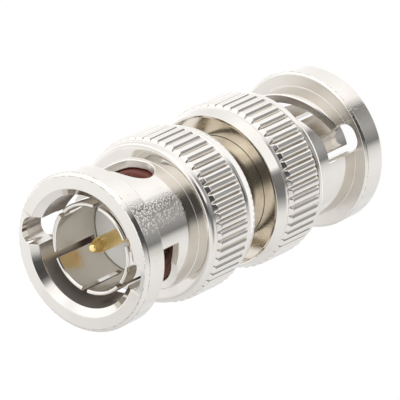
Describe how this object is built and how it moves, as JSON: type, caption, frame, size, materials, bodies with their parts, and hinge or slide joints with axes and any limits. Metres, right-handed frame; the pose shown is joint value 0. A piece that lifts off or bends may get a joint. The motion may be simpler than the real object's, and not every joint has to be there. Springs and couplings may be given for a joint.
{
  "type": "bnc connector",
  "caption": "Coaxial bayonet adapter with a plug at each end: knurled coupling nuts with helical slots turn on a plain centre barrel around slotted outer contacts and a coned centre pin.",
  "frame": {"origin": "centre of the lower mouth face, on the common axis, at the bottom of the object", "axes": "+Z along the common axis from the lower mouth to the upper mouth; the object stands on the lower coupling nut's mouth face, as on a bench"},
  "size_m": [0.0144, 0.0144, 0.0328],
  "materials": {
    "shell": "bright nickel plate, fine turning marks",
    "contact_plating": "bright nickel plate",
    "contact_gold": "gold plate, polished",
    "insulator": "waxy white fluoropolymer",
    "gasket": "dark red silicone",
    "spring": "spring steel",
    "washer": "plain"
  },
  "bodies": {
    "core": {"barrel": "shell", "centre_pin": "contact_gold", "outer_contact_lower": "contact_plating", "gasket_lower": "gasket", "insulator_lower": "insulator", "wave_washer_front_lower": "spring", "wave_washer_rear_lower": "spring", "outer_contact_upper": "contact_plating", "gasket_upper": "gasket", "insulator_upper": "insulator", "wave_washer_front_upper": "spring", "wave_washer_rear_upper": "spring"},
    "thrust_lower": {"thrust_washer_lower": "washer"},
    "nut_lower": {"coupling_nut_lower": "shell", "retaining_ring_lower": "shell"},
    "thrust_upper": {"thrust_washer_upper": "washer"},
    "nut_upper": {"coupling_nut_upper": "shell", "retaining_ring_upper": "shell"}
  },
  "joints": [
    {"name": "nut_float_lower", "type": "slide", "parent": "core", "child": "thrust_lower", "axis": [0, 0, -1], "range_m": [0, 0.00075], "stiffness_N_per_m": 2000, "springref_m": -0.0015, "deforming": ["wave_washer_front_lower", "wave_washer_rear_lower"]},
    {"name": "nut_turn_lower", "type": "hinge", "parent": "thrust_lower", "child": "nut_lower", "pos_m": [0, 0, 0], "axis": [0, 0, -1], "continuous": true},
    {"name": "nut_float_upper", "type": "slide", "parent": "core", "child": "thrust_upper", "axis": [0, 0, 1], "range_m": [0, 0.00075], "stiffness_N_per_m": 2000, "springref_m": -0.0015, "deforming": ["wave_washer_front_upper", "wave_washer_rear_upper"]},
    {"name": "nut_turn_upper", "type": "hinge", "parent": "thrust_upper", "child": "nut_upper", "pos_m": [0, 0, 0.0328], "axis": [0, 0, 1], "continuous": true}
  ]
}
